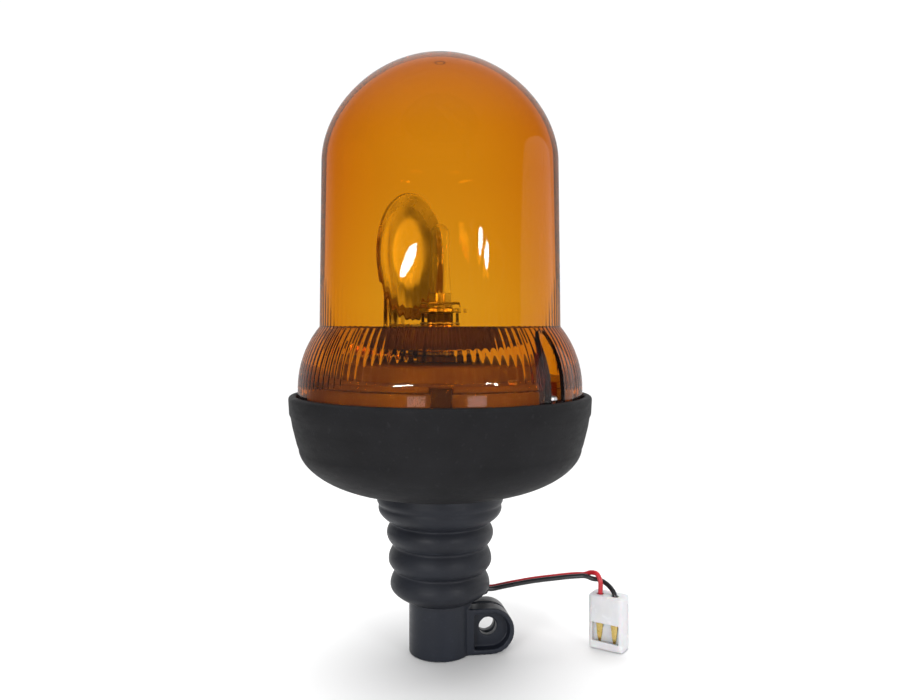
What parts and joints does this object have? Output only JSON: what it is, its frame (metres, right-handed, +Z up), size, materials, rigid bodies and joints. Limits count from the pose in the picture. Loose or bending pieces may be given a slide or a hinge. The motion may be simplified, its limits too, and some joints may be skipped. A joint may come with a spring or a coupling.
{
  "type": "rotating warning beacon",
  "caption": "Amber rotating warning beacon: domed lens, turning reflector round a halogen lamp, rubber bowl, flexible bellows and a clamp socket for a pole.",
  "frame": {"origin": "on the pole's axis at the lower end of the clamp socket", "axes": "+Z up along the beacon's axis, -Y the front, +X towards the clamp ears and the lead"},
  "size_m": [0.1709, 0.15, 0.2978],
  "materials": {
    "socket_nylon": "moulded black glass-filled nylon, satin",
    "bellows_rubber": "moulded black rubber, satin",
    "bowl_rubber": "moulded black rubber, matt",
    "black_plastic": "moulded black plastic",
    "grey_plastic": "moulded dark grey plastic, satin",
    "amber_lens": "clear amber, polished outside, fluted inside the skirt",
    "gear_plastic": "moulded dark brown acetal, satin",
    "mirror": "bright mirror plating",
    "steel": "zinc plated",
    "brass": "bare brass",
    "clear_glass": "clear quartz",
    "tungsten": "drawn wire",
    "red_pvc": "extruded red PVC",
    "black_pvc": "extruded black PVC",
    "white_nylon": "moulded natural nylon"
  },
  "bodies": {
    "mount": {"pole_socket": "socket_nylon", "lead_grommet": "bellows_rubber", "red_lead": "red_pvc", "black_lead": "black_pvc", "connector_housing": "white_nylon", "terminal_1": "brass", "terminal_2": "brass"},
    "neck": {"bellows": "bellows_rubber", "neck_cable": "black_pvc"},
    "head": {"rubber_bowl": "bowl_rubber", "base_body": "grey_plastic", "clamp_ring": "steel", "clamp_screw_1": "steel", "clamp_screw_2": "steel", "clamp_screw_3": "steel", "motor_deck": "grey_plastic", "deck_screw_1": "steel", "deck_screw_2": "steel", "deck_screw_3": "steel", "lens": "amber_lens", "lens_screw_1": "steel", "lens_screw_2": "steel", "lens_gasket": "bowl_rubber", "motor_can": "steel", "motor_end_cap": "black_plastic", "motor_screw_1": "steel", "motor_screw_2": "steel", "motor_terminal_1": "brass", "motor_terminal_2": "brass", "idler_pin": "steel", "idler_clip": "steel", "thrust_washer": "steel", "turntable_clip": "steel", "lamp_post": "black_plastic", "lamp_holder": "steel", "bulb_clip": "steel", "bulb_base": "steel", "bulb_terminal": "brass", "bulb_glass": "clear_glass", "bulb_filament": "tungsten", "bulb_feed_wire": "red_pvc", "motor_feed_wire": "red_pvc", "motor_return_wire": "black_pvc", "lamp_return_wire": "black_pvc"},
    "turntable": {"turntable_gear": "gear_plastic", "turntable_bush": "brass", "reflector": "mirror", "reflector_bracket": "steel", "reflector_rivet_1": "steel", "reflector_rivet_2": "steel"},
    "idler": {"idler_gear": "gear_plastic"},
    "rotor": {"motor_shaft": "steel", "motor_pinion": "brass"}
  },
  "joints": [
    {"name": "neck_bend_x", "type": "hinge", "parent": "mount", "child": "neck", "pos_m": [0, 0, 0.0475], "axis": [1, 0, 0], "range_deg": [-25, 25], "stiffness_Nm_per_rad": 12, "deforming": ["bellows", "neck_cable"]},
    {"name": "neck_bend_y", "type": "hinge", "parent": "neck", "child": "head", "pos_m": [0, 0, 0.0645], "axis": [0, 1, 0], "range_deg": [-25, 25], "stiffness_Nm_per_rad": 12, "deforming": ["bellows", "neck_cable"]},
    {"name": "reflector_spin", "type": "hinge", "parent": "head", "child": "turntable", "pos_m": [0, 0, 0.155], "axis": [0, 0, 1], "continuous": true},
    {"name": "idler_spin", "type": "hinge", "parent": "head", "child": "idler", "pos_m": [-0.021, 0.03637, 0.153], "axis": [0, 0, 1], "continuous": true},
    {"name": "motor_spin", "type": "hinge", "parent": "head", "child": "rotor", "pos_m": [-0.03078, 0.01445, 0.148], "axis": [0, 0, 1], "continuous": true}
  ],
  "couplings": [
    {"joint": "idler_spin", "follows": "reflector_spin", "ratio": -6},
    {"joint": "motor_spin", "follows": "reflector_spin", "ratio": 18}
  ]
}
